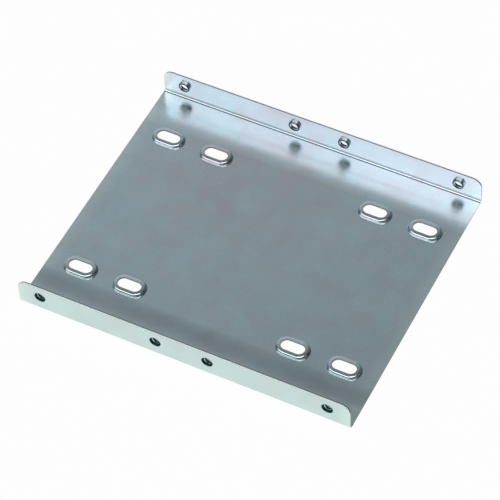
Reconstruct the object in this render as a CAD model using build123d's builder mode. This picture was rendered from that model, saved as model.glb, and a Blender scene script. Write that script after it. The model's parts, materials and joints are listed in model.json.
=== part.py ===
from build123d import *
from math import radians, tan
import os

# Adapter bracket that carries a 2.5 inch drive in a 3.5 inch drive bay.
# It is one folded steel sheet: a flat plate with a flange along each long side.
# X runs along the flanges, Y across them and Z up. The origin is at the middle
# of the underside. All lengths are in millimetres and all angles in degrees.

# Folded sheet
bracket_width = 101.6
flange_height = 10.8
sheet_thickness = 0.8
inner_bend_radius = 0.7
flange_corner_radius = 3.5
outline_edge_radius = 0.4

# Small nick in the inner upper edge of the front flange, the one towards -Y
nick_radius = 0.3
nick_x = 38.4

# Tapped holes in both flanges, for the side screws of a 3.5 inch bay
end_hole_spacing = 101.6
end_hole_margin = 8.05
end_to_middle_hole = 41.61
side_hole_height = 6.35
thread_major_diameter = 3.5
hole_entry_radius = 0.45
collar_wall = 0.3
collar_length = 0.95
collar_root_radius = 0.25
collar_rim_radius = 0.2

# Slots for the bottom screws of a 2.5 inch drive, in two places along the plate
drive_hole_spacing_x = 76.6
drive_hole_spacing_y = 61.72
drive_shift = 9.0
slot_length = 8.3
slot_width = 4.2
slot_rim_chamfer = 0.1

# Pads raised round the slots, and the recess that pressing them up leaves below
pad_height = 1.2
pad_ring_width = 0.7
pad_shoulder_radius = 0.75
pad_foot_radius = 0.3
pad_wall_thickness = 0.7
pad_wall_draft = 8.0
recess_mouth_radius = 0.5

# The bracket reaches past its end holes by their margin
bracket_length = end_hole_spacing + 2 * end_hole_margin

# Hole centres along one flange, with their height above the underside
end_hole_x = end_hole_spacing / 2
middle_hole_x = end_hole_x - end_to_middle_hole
side_hole_centres = [
    (x, side_hole_height)
    for x in (-end_hole_x, -middle_hole_x, middle_hole_x, end_hole_x)
]

outer_bend_radius = inner_bend_radius + sheet_thickness
flange_inner_face = bracket_width / 2 - sheet_thickness
thread_radius = thread_major_diameter / 2
collar_radius = thread_radius + collar_wall

# How far the pad's wall stands outside the slot, at the pad's top and at its foot,
# and the same for the wall of the recess, at its mouth
wall_slope = tan(radians(pad_wall_draft))
pad_top_margin = pad_ring_width + pad_shoulder_radius
pad_foot_margin = pad_top_margin + pad_height * wall_slope
recess_margin = pad_foot_margin + sheet_thickness * wall_slope - pad_wall_thickness
pad_top = sheet_thickness + pad_height


# Faces that the features stand on or are cut from
underside = Plane.XY
plate_face = Plane.XY.offset(sheet_thickness)
pad_face = Plane.XY.offset(pad_top)


def draw_slots(margin):
    """Draw every slot's outline, grown by margin, a pair at each corner screw."""
    with GridLocations(drive_hole_spacing_x, drive_hole_spacing_y, 2, 2):
        with GridLocations(2 * drive_shift, 0, 2, 1):
            SlotOverall(slot_length + 2 * margin, slot_width + 2 * margin)


def faces_in(plane):
    """Pick the bracket's flat faces that lie in this plane."""
    close = 0.001
    return bracket.faces().filter_by(plane).filter_by(
        lambda face: abs(plane.to_local_coords(face.center()).Z) < close
    )


def hole_edges(faces):
    """Pick the edges round the holes in these faces."""
    return ShapeList(wire for face in faces for wire in face.inner_wires()).edges()


def outline(faces):
    """Pick the edges that only one of these faces has."""
    edges = faces.edges()
    return ShapeList(edge for edge in edges if edges.count(edge) == 1)


with BuildPart() as bracket:
    # Half of the U-shaped section, mirrored and drawn out along the bracket
    with BuildSketch(Plane.YZ):
        with BuildLine():
            FilletPolyline(
                (0, 0),
                (bracket_width / 2, 0),
                (bracket_width / 2, flange_height),
                radius=outer_bend_radius,
            )
            offset(amount=sheet_thickness, side=Side.LEFT)
        make_face()
        mirror(about=Plane.YZ)
    extrude(amount=bracket_length / 2, both=True)

    # Rounded upper corners of both flanges
    fillet(
        bracket.edges().filter_by(Axis.Y).group_by(Axis.Z)[-1],
        flange_corner_radius,
    )

    # Shearing rolled the sheet's edge over on the outside of the fold
    facing_out = bracket.faces().filter_by(
        lambda face: face.normal_at().Y * face.center().Y > 0
    )
    fillet(outline(faces_in(underside) + facing_out), outline_edge_radius)

    # Pads, with a fillet at the foot and a rounded shoulder
    with BuildSketch(plate_face):
        draw_slots(pad_foot_margin)
    extrude(amount=pad_height, taper=pad_wall_draft)
    fillet(hole_edges(faces_in(plate_face)), pad_foot_radius)
    fillet(faces_in(pad_face).edges(), pad_shoulder_radius)

    # Recesses under the pads, as deep as the pads are high
    with BuildSketch(underside):
        draw_slots(recess_margin)
    extrude(amount=pad_height, taper=pad_wall_draft, mode=Mode.SUBTRACT)
    fillet(hole_edges(faces_in(underside)), recess_mouth_radius)

    # Slots through the pads, with the upper rim just broken
    with BuildSketch(underside):
        draw_slots(0)
    extrude(amount=pad_top, mode=Mode.SUBTRACT)
    chamfer(hole_edges(faces_in(pad_face)), slot_rim_chamfer)

    # Side holes, drawn inwards into collars that give the thread its length
    for side in (-1, 1):
        inner_face = Plane(
            origin=(0, side * flange_inner_face, 0),
            x_dir=(side, 0, 0),
            z_dir=(0, -side, 0),
        )
        outer_face = inner_face.offset(-sheet_thickness)
        collar_end = inner_face.offset(collar_length)
        with BuildSketch(inner_face):
            with Locations(side_hole_centres):
                Circle(collar_radius)
        extrude(amount=collar_length)
        fillet(hole_edges(faces_in(inner_face)), collar_root_radius)
        fillet(faces_in(collar_end).edges(), collar_rim_radius)
        with Locations(collar_end):
            with Locations(side_hole_centres):
                Hole(thread_radius, collar_length + sheet_thickness)
        fillet(hole_edges(faces_in(outer_face)), hole_entry_radius)

    with Locations((nick_x, -flange_inner_face, flange_height)):
        Sphere(nick_radius, mode=Mode.SUBTRACT)

bracket.part.label = "bracket"
os.makedirs("parts", exist_ok=True)
export_step(bracket.part, "parts/bracket.step")
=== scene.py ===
import json
import math

import bpy
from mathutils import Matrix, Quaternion, Vector


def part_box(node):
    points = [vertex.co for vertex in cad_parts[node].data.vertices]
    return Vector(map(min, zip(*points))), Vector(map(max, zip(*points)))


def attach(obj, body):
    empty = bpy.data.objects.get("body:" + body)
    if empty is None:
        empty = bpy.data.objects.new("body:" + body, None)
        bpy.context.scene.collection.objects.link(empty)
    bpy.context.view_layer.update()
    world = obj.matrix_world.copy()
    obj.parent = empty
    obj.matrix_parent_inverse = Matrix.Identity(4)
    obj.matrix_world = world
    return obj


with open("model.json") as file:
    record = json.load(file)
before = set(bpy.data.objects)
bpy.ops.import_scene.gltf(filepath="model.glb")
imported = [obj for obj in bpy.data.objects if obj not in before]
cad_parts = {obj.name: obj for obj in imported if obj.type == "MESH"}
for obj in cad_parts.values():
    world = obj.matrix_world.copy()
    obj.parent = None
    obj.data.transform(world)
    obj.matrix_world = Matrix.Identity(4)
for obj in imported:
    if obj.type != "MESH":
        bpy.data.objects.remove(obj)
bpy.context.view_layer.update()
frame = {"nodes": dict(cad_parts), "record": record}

# Half the bracket's length and width, and its height
bracket_half_length, bracket_half_width, bracket_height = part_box("bracket")[1]
millimetre = 0.001

# View of the photograph: where the camera stands round the bracket, in degrees and metres
camera_azimuth = 28.56
camera_elevation = 51.04
camera_roll = 2.61
camera_distance = 0.86485
camera_target = Vector((-0.0012, -0.0002, 0.0))
camera_lens_mm = 190.9
camera_sensor_mm = 36.0

# Studio light. Two wide soft boxes stand in front to the left, one above the other, with a
# small dim one beside them and a bright one high on the right: the way to the middle of each,
# half its width and height as tangents, its soft rim and its radiance.
soft_boxes = (
    ((-0.30, -0.56, 0.76), 0.72, 0.27, 0.12, 1.42),
    ((-0.40, -0.72, 0.43), 0.55, 0.26, 0.12, 1.15),
    ((0.03, -0.55, 0.72), 0.30, 0.20, 0.10, 0.36),
    ((0.36, -0.30, 0.90), 0.30, 0.28, 0.10, 2.7),
)
# A direction at nearly a right angle to a box's axis, or further round, gets none of its light
least_depth = 0.01

# The tent round them is dim. It is brightest round one direction at the back left, darkest at
# right angles to it and a little brighter again across from it. Each pair is the cosine of the
# angle from that direction, and how bright the tent is there.
tent_direction = (-0.60, 0.75, 0.30)
tent_levels = (
    (-1.0, 0.24), (-0.75, 0.20), (-0.45, 0.13), (-0.2, 0.05), (0.0, 0.04), (0.2, 0.11),
    (0.47, 0.165), (0.61, 0.185), (0.72, 0.228), (0.823, 0.425), (0.9, 0.6), (1.0, 0.75),
)
tent_tint = (0.846, 0.935, 0.965)
# It fades towards the floor, between these heights as sines
tent_fade = (0.05, 0.4)
tent_share_at_floor = 0.15

# Floor: white to the camera and in reflections, with some share left to take the shadow
floor_half_width = 3.0
floor_drop = 0.00005
floor_white_share = 0.96
floor_albedo = (0.93, 0.93, 0.93)
white = (1.0, 1.0, 1.0)

# Folded sheet: its thickness, and the radius on the inside of the bend
sheet_thickness = 0.0008
bend_radius = 0.0007
flange_inner_face = bracket_half_width - sheet_thickness

# Noise patterns over the sheet: how fine each is, and how it is stretched or shifted
noise_patterns = {
    "patches": {"scale": 70, "detail": 4.0, "offset": (0.031, 0.012, 0)},
    "greens": {"scale": 48, "detail": 2.0, "offset": (0.4, 0.2, 0.1)},
    "clouds": {"scale": 90, "detail": 3.0, "offset": (0.1, 0.7, 0)},
    "rolling": {"scale": 900, "detail": 2.0, "stretch": (0.03, 1, 1)},
    "grain": {"scale": 2600, "detail": 2.0},
    "sway": {"scale": 55, "detail": 1.0, "offset": (0.2, 0.3, 0.5)},
    "tints": {"scale": 130, "detail": 3.0, "offset": (0.3, 0.5, 0.2)},
}
# The mean of such a pattern, and the range in which most of it lies
noise_mean = 0.5
noise_range = (0.3, 0.7)

# Zinc plating: its pale blue-grey, and the greyer and greener patches of its passivated film
zinc_colour = (0.61, 0.70, 0.755)
warm_patch_colour = (0.619, 0.64, 0.685)
warm_patch_middle = (-0.016, 0.028)
warm_patch_reach = (0.006, 0.044)
warm_patch_raggedness = 0.06
green_patch_colour = (0.588, 0.71, 0.738)
green_patch_range = (0.55, 0.75)
green_patch_share = 0.8
# Where the film is thin, towards the plate's ends, it is paler
end_colour = (0.68, 0.79, 0.80)
end_reach = (bracket_half_length - 0.006, bracket_half_length)
# It is paler too on the plate beside the back fold, towards the right end: a painted highlight
band_highlight_colour = (0.70, 0.722, 0.775)
band_highlight_x_reach = (-0.01, 0.045)
band_highlight_y_reach = (0.034, 0.043)
band_highlight_height_reach = (sheet_thickness + 0.0001, sheet_thickness + bend_radius)
# Cloudy tints of the film, from warm to cool
warm_tint = (1.012, 0.965, 0.962)
cool_tint = (0.988, 1.035, 1.038)
# It is greener on the outside of the bracket
outer_tint = (0.96, 1.043, 0.94)
# How dark and bright its clouds and its grain are
cloud_shades = (0.975, 1.025)
grain_shades = (0.94, 1.06)

# Satin surface: smoother and rougher in clouds and along the lines from rolling
cloud_roughness = (0.20, 0.25)
rolling_range = (0.35, 0.65)
rolling_roughness = (-0.015, 0.015)
# Its relief: the shares of the rolling lines and the grain, and the strength and distance of
# that fine bump and of the sheet's broad sway
rolling_relief = 0.35
grain_relief = 0.65
fine_bump = {"Strength": 0.12, "Distance": 0.00002}
broad_bump = {"Strength": 0.3, "Distance": 0.0002}
true_height_bump = {"Strength": 1.0, "Distance": 1.0}

# How much of a face's direction lies along X, Y or Z, out of the bracket or into it, where
# the face begins to count as facing that way and where it fully does
facing_x_range = (0.5, 0.8)
facing_y_range = (0.75, 0.95)
facing_z_range = (0.80, 0.95)
facing_out_range = (0.3, 0.6)
facing_in_range = (0.6, 0.9)

# Sheared edges of the sheet: dull all round. Where the shears cut the flanges first, on the
# outside, their edge carries a painted highlight, pale and less metallic, and where the sheet
# broke away behind that it is dark, as it is on the plate's ends and in the slots. On the slots'
# bevels that dark is painted shade, dimming their highlight.
sheared_highlight_colour = (0.80, 0.87, 0.83)
sheared_highlight_metallic = 0.25
sheared_dark_and_shade_colour = (0.235, 0.25, 0.24)
sheared_roughness = 0.45
broken_share = 0.35
cut_softness = 0.00008
# Where they lie: down from the flanges' tops, outwards from their inner faces, in from the
# plate's ends and out from the slots' outlines
flange_top_reach = (bracket_height - 0.0022, bracket_height - 0.0018)
flange_reach = (flange_inner_face - 0.0001, flange_inner_face)
plate_end_reach = (bracket_half_length - 0.0010, bracket_half_length - 0.0005)
slot_wall_reach = (0.0003, 0.0005)

# Fold: painted shade, in a dark line where the bend begins on the plate and a fainter one on the
# flange. They lie to either side of its middle by a share of the bend's radius.
fold_shade_colour = (0.08, 0.11, 0.13)
fold_shade_place = 0.75
fold_shade_half = 0.00025
upper_fold_shade_half = 0.00015
fold_shade_softness = 0.00006
fold_shade_share = 0.88
upper_fold_shade_share = 0.2
# The bend pulled the plate down a little beside it: where the fall begins, slows down and
# ends, and how far the plate falls before and after it slows down
fall_reach = (0.0345, 0.0435, 0.0497)
main_fall = 0.00042
further_fall = 0.00006

# The pads' tops fall away a little from the slots
crown_slope = 0.1
crown_width = 0.0009

# Tapped holes: painted shade, near-black, between the thread's crests and round the collars:
# from a little inside the bore's wall to a little outside it, and as far along as the collar goes
bore_shade_colour = (0.025, 0.07, 0.078)
bore_roughness = 0.16
bore_shade_reach = (-0.00023, 0.00028)
bore_shade_softness = 0.00008
hole_depth = 0.00175
collar_end = bracket_half_width - hole_depth
collar_end_softness = 0.0002

# Screw thread in the side holes: number 6 with 32 threads to the inch
thread_pitch = 0.0254 / 32
thread_depth = 0.00035
thread_flank_angle = math.radians(30)
thread_root_flat = thread_pitch / 8
thread_embedding = 0.00004
thread_end_clearance = 0.00002
thread_mouth_gap = 0.00055
thread_lead_in = 0.0004
thread_steps_per_turn = 48
# The share of half a ridge's width by which its middle runs out past the ends of the thread
thread_run_out = 0.98


def add_node(tree, kind, inputs=None, **properties):
    """Add a shader node with its properties, and link its inputs to outputs or set them."""
    node = tree.nodes.new(kind)
    for name, value in properties.items():
        setattr(node, name, value)
    for name, value in (inputs or {}).items():
        if isinstance(value, bpy.types.NodeSocket):
            tree.links.new(value, node.inputs[name])
        else:
            node.inputs[name].default_value = value
    return node


def add_math(tree, operation, *values):
    """Add a math node for outputs or numbers, and return its result."""
    inputs = dict(enumerate(values))
    return add_node(tree, "ShaderNodeMath", inputs, operation=operation).outputs[0]


def combine(tree, operation, first, *others):
    """Join outputs or numbers one after another by the same operation."""
    for other in others:
        first = add_math(tree, operation, first, other)
    return first


def add_vector_math(tree, operation, *values, result="Vector"):
    """Add a math node for vectors or colours, and return its result."""
    inputs = dict(enumerate(values))
    return add_node(tree, "ShaderNodeVectorMath", inputs, operation=operation).outputs[result]


def split(tree, vector):
    """Return the X, Y and Z of a vector in the tree, by name."""
    return add_node(tree, "ShaderNodeSeparateXYZ", {0: vector}).outputs


def remap(tree, value, low, high, to_low=0.0, to_high=1.0, kind="SMOOTHSTEP"):
    """Map a value from one range to another, with soft ends unless kind says LINEAR."""
    ranges = {"From Min": low, "From Max": high, "To Min": to_low, "To Max": to_high}
    node = add_node(tree, "ShaderNodeMapRange", ranges, interpolation_type=kind)
    tree.links.new(value, node.inputs["Value"])
    return node.outputs["Result"]


def within(tree, value, middle, half, soft):
    """Return 1 where a value is within half of the middle, and fade to 0 beyond that."""
    away = add_math(tree, "ABSOLUTE", add_math(tree, "SUBTRACT", value, middle))
    return remap(tree, away, half - soft, half + soft, 1.0, 0.0)


def opaque(colour):
    """Give a colour an alpha of one."""
    return (*colour, 1.0)


def mix_colours(tree, share, first, second):
    """Mix a colour or an output with another, and return the result."""
    first, second = (
        opaque(colour) if isinstance(colour, tuple) else colour for colour in (first, second)
    )
    # The node has its pair of colours as inputs 6 and 7, and their mixture as output 2
    return add_node(tree, "ShaderNodeMix", {0: share, 6: first, 7: second}, data_type="RGBA").outputs[2]


def add_noise(tree, point, scale, detail, stretch=(1, 1, 1), offset=(0, 0, 0)):
    """Add a noise texture over the piece, stretched and shifted, and return its value."""
    shift = {"Vector": point, "Scale": stretch, "Location": offset}
    place = add_node(tree, "ShaderNodeMapping", shift).outputs["Vector"]
    settings = {"Vector": place, "Scale": scale, "Detail": detail}
    return add_node(tree, "ShaderNodeTexNoise", settings).outputs["Fac"]


def make_camera():
    """Stand the camera at the photograph's angle, slightly rolled."""
    azimuth, elevation = math.radians(camera_azimuth), math.radians(camera_elevation)
    back = Vector((
        math.sin(azimuth) * math.cos(elevation),
        -math.cos(azimuth) * math.cos(elevation),
        math.sin(elevation),
    ))
    data = bpy.data.cameras.new("camera")
    data.lens = camera_lens_mm
    data.sensor_width = camera_sensor_mm
    camera = bpy.data.objects.new("camera", data)
    camera.rotation_mode = "QUATERNION"
    camera.location = camera_target + camera_distance * back
    level = (-back).to_track_quat("-Z", "Y")
    camera.rotation_quaternion = level @ Quaternion((0, 0, 1), -math.radians(camera_roll))
    bpy.context.scene.collection.objects.link(camera)
    bpy.context.scene.camera = camera


def along(tree, direction, axis):
    """Return how far a direction in the tree goes along an axis."""
    return add_vector_math(tree, "DOT_PRODUCT", direction, axis, result="Value")


def add_soft_box(tree, direction, middle, half_width, half_height, rim, radiance):
    """Return the light that a soft box far away sends from a direction."""
    out = Vector(middle).normalized()
    right = out.cross(Vector((0, 0, 1))).normalized()
    up = right.cross(out)
    depth = along(tree, direction, out)
    safe_depth = add_math(tree, "MAXIMUM", depth, least_depth)
    level = add_math(tree, "GREATER_THAN", depth, least_depth)
    for axis, half in ((right, half_width), (up, half_height)):
        offset = add_math(tree, "DIVIDE", along(tree, direction, axis), safe_depth)
        inside = within(tree, offset, 0.0, half, rim)
        level = add_math(tree, "MULTIPLY", level, inside)
    return add_math(tree, "MULTIPLY", level, radiance)


def find_tent_level(tree, direction):
    """Return the light that the tent round the soft boxes sends from a direction."""
    closeness = along(tree, direction, Vector(tent_direction).normalized())
    position = remap(tree, closeness, -1.0, 1.0, kind="LINEAR")
    tent = add_node(tree, "ShaderNodeValToRGB", {"Fac": position})
    tent.color_ramp.interpolation = "B_SPLINE"
    stops = tent.color_ramp.elements
    while len(stops) < len(tent_levels):
        stops.new(position=0.5)
    for stop, (cosine, level) in zip(stops, tent_levels):
        stop.position = (cosine + 1) / 2
        stop.color = opaque([level] * 3)
    fade = remap(tree, split(tree, direction)["Z"], *tent_fade, tent_share_at_floor, 1.0)
    return add_math(tree, "MULTIPLY", tent.outputs["Color"], fade)


def make_light():
    """Light the studio by its world alone: soft boxes inside a dim tent."""
    world = bpy.data.worlds.new("studio")
    bpy.context.scene.world = world
    world.use_nodes = True
    tree = world.node_tree
    direction = add_node(tree, "ShaderNodeTexCoord").outputs["Generated"]
    tent_level = find_tent_level(tree, direction)
    box_levels = [add_soft_box(tree, direction, *soft_box) for soft_box in soft_boxes]
    box_level = combine(tree, "ADD", *box_levels)
    light = add_vector_math(tree, "MULTIPLY_ADD", tent_tint, tent_level, box_level)
    tree.links.new(light, tree.nodes["Background"].inputs["Color"])


def make_floor():
    """Lay a white floor that shows in reflections and keeps a soft shadow."""
    half = floor_half_width
    mesh = bpy.data.meshes.new("floor")
    corners = [(-half, -half, 0), (half, -half, 0), (half, half, 0), (-half, half, 0)]
    mesh.from_pydata(corners, [], [(0, 1, 2, 3)])
    floor = bpy.data.objects.new("floor", mesh)
    floor.location.z = -floor_drop
    bpy.context.scene.collection.objects.link(floor)

    material = bpy.data.materials.new("white_floor")
    material.use_nodes = True
    tree = material.node_tree
    tree.nodes.clear()
    rays = add_node(tree, "ShaderNodeLightPath").outputs
    kinds = [rays[kind] for kind in ("Is Camera Ray", "Is Glossy Ray", "Is Transmission Ray")]
    share = add_math(tree, "MULTIPLY", combine(tree, "MAXIMUM", *kinds), floor_white_share)
    matt = add_node(tree, "ShaderNodeBsdfDiffuse", {"Color": opaque(floor_albedo)})
    glow = add_node(tree, "ShaderNodeEmission", {"Color": opaque(white), "Strength": 1.0})
    mix = add_node(tree, "ShaderNodeMixShader", {0: share, 1: matt.outputs[0], 2: glow.outputs[0]})
    add_node(tree, "ShaderNodeOutputMaterial", {"Surface": mix.outputs[0]})
    mesh.materials.append(material)


def find_length(tree, across, up):
    """Return the length of a way that goes across and up."""
    squares = [add_math(tree, "MULTIPLY", value, value) for value in (across, up)]
    return add_math(tree, "SQRT", add_math(tree, "ADD", *squares))


def find_slot_distance(tree, place):
    """Return how far a point is from the outline of the nearest slot, seen from above."""
    slot = next(mount for mount in frame["record"]["mounts"] if "slot_length_mm" in mount["dims"])
    dims = slot["dims"]
    end_radius = dims["hole_r_mm"] * millimetre
    straight_half = dims["slot_length_mm"] / 2 * millimetre - end_radius

    # Fold the plate up until its slots lie on one another, then shrink their straight part
    x = add_math(tree, "ABSOLUTE", place["X"])
    for fold_at in (dims["spacing_x_mm"] / 2 * millimetre, abs(slot["pos_m"][0])):
        x = add_math(tree, "ABSOLUTE", add_math(tree, "SUBTRACT", x, fold_at))
    x = add_math(tree, "MAXIMUM", add_math(tree, "SUBTRACT", x, straight_half), 0.0)
    y = add_math(tree, "ABSOLUTE", place["Y"])
    y = add_math(tree, "SUBTRACT", y, dims["spacing_y_mm"] / 2 * millimetre)
    return add_math(tree, "SUBTRACT", find_length(tree, x, y), end_radius)


def find_outwardness(tree, place, facing):
    """Return how far a point faces along Y, away from the bracket's middle."""
    return add_math(tree, "MULTIPLY", facing["Y"], add_math(tree, "SIGN", place["Y"]))


def find_outside(tree, place, facing):
    """Return how far a point faces out of the bracket, on a flange or on the underside."""
    downward = add_math(tree, "MULTIPLY", facing["Z"], -1.0)
    out = add_math(tree, "MAXIMUM", find_outwardness(tree, place, facing), downward)
    return remap(tree, out, *facing_out_range)


def find_sheared_edges(tree, place, facing, off_slot):
    """Return how far a point is on a sheared edge with painted highlight, and on a dark one or painted
    shade.
    """
    x, y = (add_math(tree, "ABSOLUTE", place[axis]) for axis in "XY")
    along_x, along_y, along_z = (add_math(tree, "ABSOLUTE", facing[axis]) for axis in "XYZ")

    # Tops and rounded corners of the flanges: not facing along Y, and above the side holes
    sideways = remap(tree, along_y, *facing_y_range, 1.0, 0.0)
    above = remap(tree, place["Z"], *flange_top_reach)
    on_flange = remap(tree, y, *flange_reach)
    flange_edge = combine(tree, "MULTIPLY", sideways, above, on_flange)
    break_at = bracket_half_width - sheet_thickness * (1 - broken_share)
    cut = remap(tree, y, break_at - cut_softness, break_at + cut_softness)
    sheared_highlight_edge = add_math(tree, "MULTIPLY", flange_edge, cut)
    broken_edge = add_math(tree, "SUBTRACT", flange_edge, sheared_highlight_edge)

    # Ends of the plate, and of the flanges below their rounded corners
    endwise = remap(tree, along_x, *facing_x_range)
    plate_end = add_math(tree, "MULTIPLY", endwise, remap(tree, x, *plate_end_reach))

    # Walls of the slots: upright or bevelled, close to a slot; on the bevels the dark is painted shade
    upright = remap(tree, along_z, *facing_z_range, 1.0, 0.0)
    in_slot = remap(tree, off_slot, *slot_wall_reach, 1.0, 0.0)
    slot_wall = add_math(tree, "MULTIPLY", upright, in_slot)

    return sheared_highlight_edge, combine(tree, "MAXIMUM", plate_end, slot_wall, broken_edge)


def find_fold_shade(tree, place, facing):
    """Return how far a point is on a painted shade line along the inside of a fold."""
    outward = find_outwardness(tree, place, facing)
    inside = remap(tree, add_math(tree, "SUBTRACT", facing["Z"], outward), *facing_in_range)

    # Way along the sheet from the fold's middle, towards the plate below 0 and up the flange above
    beyond = add_math(tree, "SUBTRACT", add_math(tree, "ABSOLUTE", place["Y"]), flange_inner_face)
    above = add_math(tree, "SUBTRACT", place["Z"], sheet_thickness)
    along_fold = add_math(tree, "ADD", beyond, above)
    shares = []
    for middle, half, share in (
        (-bend_radius * fold_shade_place, fold_shade_half, fold_shade_share),
        (bend_radius * fold_shade_place, upper_fold_shade_half, upper_fold_shade_share),
    ):
        line = within(tree, along_fold, middle, half, fold_shade_softness)
        shares.append(add_math(tree, "MULTIPLY", line, share))
    return add_math(tree, "MULTIPLY", add_math(tree, "ADD", *shares), inside)


def find_bore_shade(tree, place):
    """Return how far a point is in painted shade on a side hole's wall, or close round its collar."""
    x, y = (add_math(tree, "ABSOLUTE", place[axis]) for axis in "XY")
    walls = []
    for hole in side_holes():
        mouth = hole["mouth"]
        if mouth.x > 0 and mouth.y > 0:
            from_x = add_math(tree, "SUBTRACT", x, mouth.x)
            from_z = add_math(tree, "SUBTRACT", place["Z"], mouth.z)
            inner, outer = (hole["wall_radius"] + reach for reach in bore_shade_reach)
            middle, half = (inner + outer) / 2, (outer - inner) / 2
            away = find_length(tree, from_x, from_z)
            walls.append(within(tree, away, middle, half, bore_shade_softness))
    at_flange = remap(tree, y, collar_end - collar_end_softness, collar_end)
    return add_math(tree, "MULTIPLY", combine(tree, "MAXIMUM", *walls), at_flange)


def find_film_colour(tree, point, place, facing, noises):
    """Return the colour of the plating's film, with its patches, clouds, grain and painted highlight.
    """
    # The warm tinge lies in one broad patch with ragged edges
    middle = (*warm_patch_middle, sheet_thickness)
    away = add_vector_math(tree, "DISTANCE", point, middle, result="Value")
    swing = add_math(tree, "SUBTRACT", noises["patches"], noise_mean)
    ragged = add_math(tree, "MULTIPLY_ADD", swing, warm_patch_raggedness, away)
    warmth = remap(tree, ragged, *warm_patch_reach, 1.0, 0.0)
    colour = mix_colours(tree, warmth, zinc_colour, warm_patch_colour)
    greenness = remap(tree, noises["greens"], *green_patch_range, 0.0, green_patch_share)
    colour = mix_colours(tree, greenness, colour, green_patch_colour)

    # It is paler towards both ends, and, as a painted highlight, beside the back fold towards the right
    from_middle = add_math(tree, "ABSOLUTE", place["X"])
    end_share = remap(tree, from_middle, *end_reach)
    colour = mix_colours(tree, end_share, colour, end_colour)
    band_highlight_x = remap(tree, place["X"], *band_highlight_x_reach)
    band_highlight_y = remap(tree, place["Y"], *band_highlight_y_reach)
    on_plate = remap(tree, place["Z"], *band_highlight_height_reach, 1.0, 0.0)
    band_highlight_share = combine(tree, "MULTIPLY", band_highlight_x, band_highlight_y, on_plate)
    colour = mix_colours(tree, band_highlight_share, colour, band_highlight_colour)

    # Tints, clouds and grain go over all of it
    tint = mix_colours(tree, remap(tree, noises["tints"], *noise_range), warm_tint, cool_tint)
    colour = add_vector_math(tree, "MULTIPLY", colour, tint)
    tint = mix_colours(tree, find_outside(tree, place, facing), white, outer_tint)
    colour = add_vector_math(tree, "MULTIPLY", colour, tint)
    cloud_shade = remap(tree, noises["clouds"], *noise_range, *cloud_shades)
    grain_shade = remap(tree, noises["grain"], *noise_range, *grain_shades)
    shade = add_math(tree, "MULTIPLY", cloud_shade, grain_shade)
    shaded = {"Color": colour, "Value": shade}
    return add_node(tree, "ShaderNodeHueSaturation", shaded).outputs["Color"]


def find_roughness(tree, noises, sheared, bore):
    """Return the roughness: satin, dull on the sheared edges and smoother in the bores."""
    clouds = remap(tree, noises["clouds"], *noise_range, *cloud_roughness)
    rolling = remap(tree, noises["rolling"], *rolling_range, *rolling_roughness)
    roughness = add_math(tree, "ADD", clouds, rolling)
    dull = add_math(tree, "MULTIPLY", sheared, sheared_roughness)
    roughness = add_math(tree, "MAXIMUM", roughness, dull)
    excess = add_math(tree, "SUBTRACT", roughness, bore_roughness)
    return add_math(tree, "SUBTRACT", roughness, add_math(tree, "MULTIPLY", bore, excess))


def find_form(tree, place, off_slot):
    """Return the height of the plate beside its folds and on the pads, against a flat one."""
    y = add_math(tree, "ABSOLUTE", place["Y"])
    begin, slower, end = fall_reach
    fall = add_math(
        tree,
        "ADD",
        remap(tree, y, begin, slower, 0.0, -main_fall),
        remap(tree, y, slower, end, 0.0, -further_fall),
    )
    way_out = add_math(tree, "MINIMUM", add_math(tree, "MAXIMUM", off_slot, 0.0), crown_width)
    return add_math(tree, "SUBTRACT", fall, add_math(tree, "MULTIPLY", way_out, crown_slope))


def find_normal(tree, noises, form):
    """Return the normal, bent by the sheet's form, its broad sway and its fine relief."""
    rolling = add_math(tree, "MULTIPLY", noises["rolling"], rolling_relief)
    grain = add_math(tree, "MULTIPLY", noises["grain"], grain_relief)
    relief = add_math(tree, "ADD", rolling, grain)
    normal = {}
    for height, bump in (
        (form, true_height_bump),
        (noises["sway"], broad_bump),
        (relief, fine_bump),
    ):
        node = add_node(tree, "ShaderNodeBump", {"Height": height, **bump, **normal})
        normal = {"Normal": node.outputs["Normal"]}
    return normal["Normal"]


def make_zinc_plated_steel():
    """Satin zinc on rolled sheet: faint film colours, rolling lines and dull sheared edges."""
    material = bpy.data.materials.new("zinc_plated_steel_finish")
    material.use_nodes = True
    tree = material.node_tree
    texture = add_node(tree, "ShaderNodeTexCoord")
    point = texture.outputs["Object"]
    place = split(tree, point)
    facing = split(tree, texture.outputs["Normal"])
    off_slot = find_slot_distance(tree, place)
    noises = {
        name: add_noise(tree, point, **pattern) for name, pattern in noise_patterns.items()
    }
    sheared_highlight_edge, dark_edge = find_sheared_edges(tree, place, facing, off_slot)
    bore = find_bore_shade(tree, place)

    colour = find_film_colour(tree, point, place, facing, noises)
    for share, over in (
        (find_fold_shade(tree, place, facing), fold_shade_colour),
        (sheared_highlight_edge, sheared_highlight_colour),
        (dark_edge, sheared_dark_and_shade_colour),
        (bore, bore_shade_colour),
    ):
        colour = mix_colours(tree, share, colour, over)
    sheared = add_math(tree, "MAXIMUM", sheared_highlight_edge, dark_edge)
    surface = {
        "Base Color": colour,
        "Metallic": remap(tree, sheared_highlight_edge, 0.0, 1.0, 1.0, sheared_highlight_metallic, kind="LINEAR"),
        "Roughness": find_roughness(tree, noises, sheared, bore),
        "Normal": find_normal(tree, noises, find_form(tree, place, off_slot)),
    }
    for name, output in surface.items():
        tree.links.new(output, tree.nodes["Principled BSDF"].inputs[name])
    return material


def side_holes():
    """List the side holes from the record's mounts: name, mouth, way out and radius of each."""
    holes = []
    for mount in frame["record"]["mounts"]:
        if mount["kind"] != "bolt_pattern" or mount["axis"][2] != 0:
            continue
        for side, side_name in ((-1, "left"), (1, "right")):
            x, y, z = mount["pos_m"]
            x += side * mount["dims"]["spacing_x_mm"] / 2 * millimetre
            holes.append({
                "name": mount["name"].replace("holes", side_name),
                "mouth": Vector((x, y, z)),
                "outward": Vector(mount["axis"]),
                "wall_radius": mount["dims"]["hole_r_mm"] * millimetre,
            })
    return holes


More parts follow.
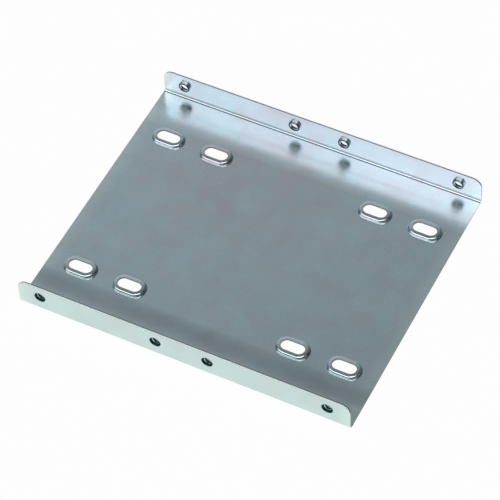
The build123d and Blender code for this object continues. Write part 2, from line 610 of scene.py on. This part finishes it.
def make_thread(name, mouth, outward, wall_radius):
    """Wind the ridge of a screw thread round the wall of a side hole, as a closed mesh."""
    across = Vector((1, 0, 0))
    upright = outward.cross(across)
    base_half = (thread_pitch - thread_root_flat) / 2
    crest_half = base_half - thread_depth * math.tan(thread_flank_angle)
    base_radius = wall_radius + thread_embedding
    ridge_height = thread_depth + thread_embedding
    # Corners of the ridge's section: how far each lies along the hole, and 1 on the crest
    profile = ((-base_half, 0), (-crest_half, 1), (crest_half, 1), (base_half, 0))

    # Ends of the thread, as depths outwards from the mouth of the hole
    inner_end = -hole_depth + thread_end_clearance
    outer_end = -thread_mouth_gap
    start = inner_end - base_half * thread_run_out
    end = outer_end + base_half * thread_run_out
    steps = math.ceil((end - start) / thread_pitch * thread_steps_per_turn)

    points = []
    for step in range(steps + 1):
        middle = start + (end - start) * step / steps
        angle = 2 * math.pi * middle / thread_pitch
        spoke = math.cos(angle) * across + math.sin(angle) * upright
        for half, height in profile:
            depth = min(max(middle + half, inner_end), outer_end)
            share = min(max((outer_end - depth) / thread_lead_in, 0), 1)
            radius = base_radius - height * share * ridge_height
            points.append(mouth + radius * spoke + depth * outward)

    corners = len(profile)
    first_face = tuple(range(corners))
    last_face = tuple(steps * corners + corner for corner in reversed(range(corners)))
    faces = [first_face, last_face]
    for step in range(steps):
        here = step * corners
        ahead = here + corners
        for corner in range(corners):
            following = (corner + 1) % corners
            faces.append((here + following, here + corner, ahead + corner, ahead + following))
    mesh = bpy.data.meshes.new("thread_" + name)
    mesh.from_pydata(points, [], faces)
    mesh.validate()
    thread = bpy.data.objects.new("thread_" + name, mesh)
    bpy.context.scene.collection.objects.link(thread)
    return thread


make_camera()
make_light()
make_floor()
bpy.context.scene.view_settings.view_transform = "Standard"

steel = make_zinc_plated_steel()
bracket = frame["nodes"]["bracket"]
for material_slot in bracket.material_slots:
    material_slot.material = steel
for side_hole in side_holes():
    thread = make_thread(**side_hole)
    thread.data.materials.append(steel)
    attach(thread, "root")
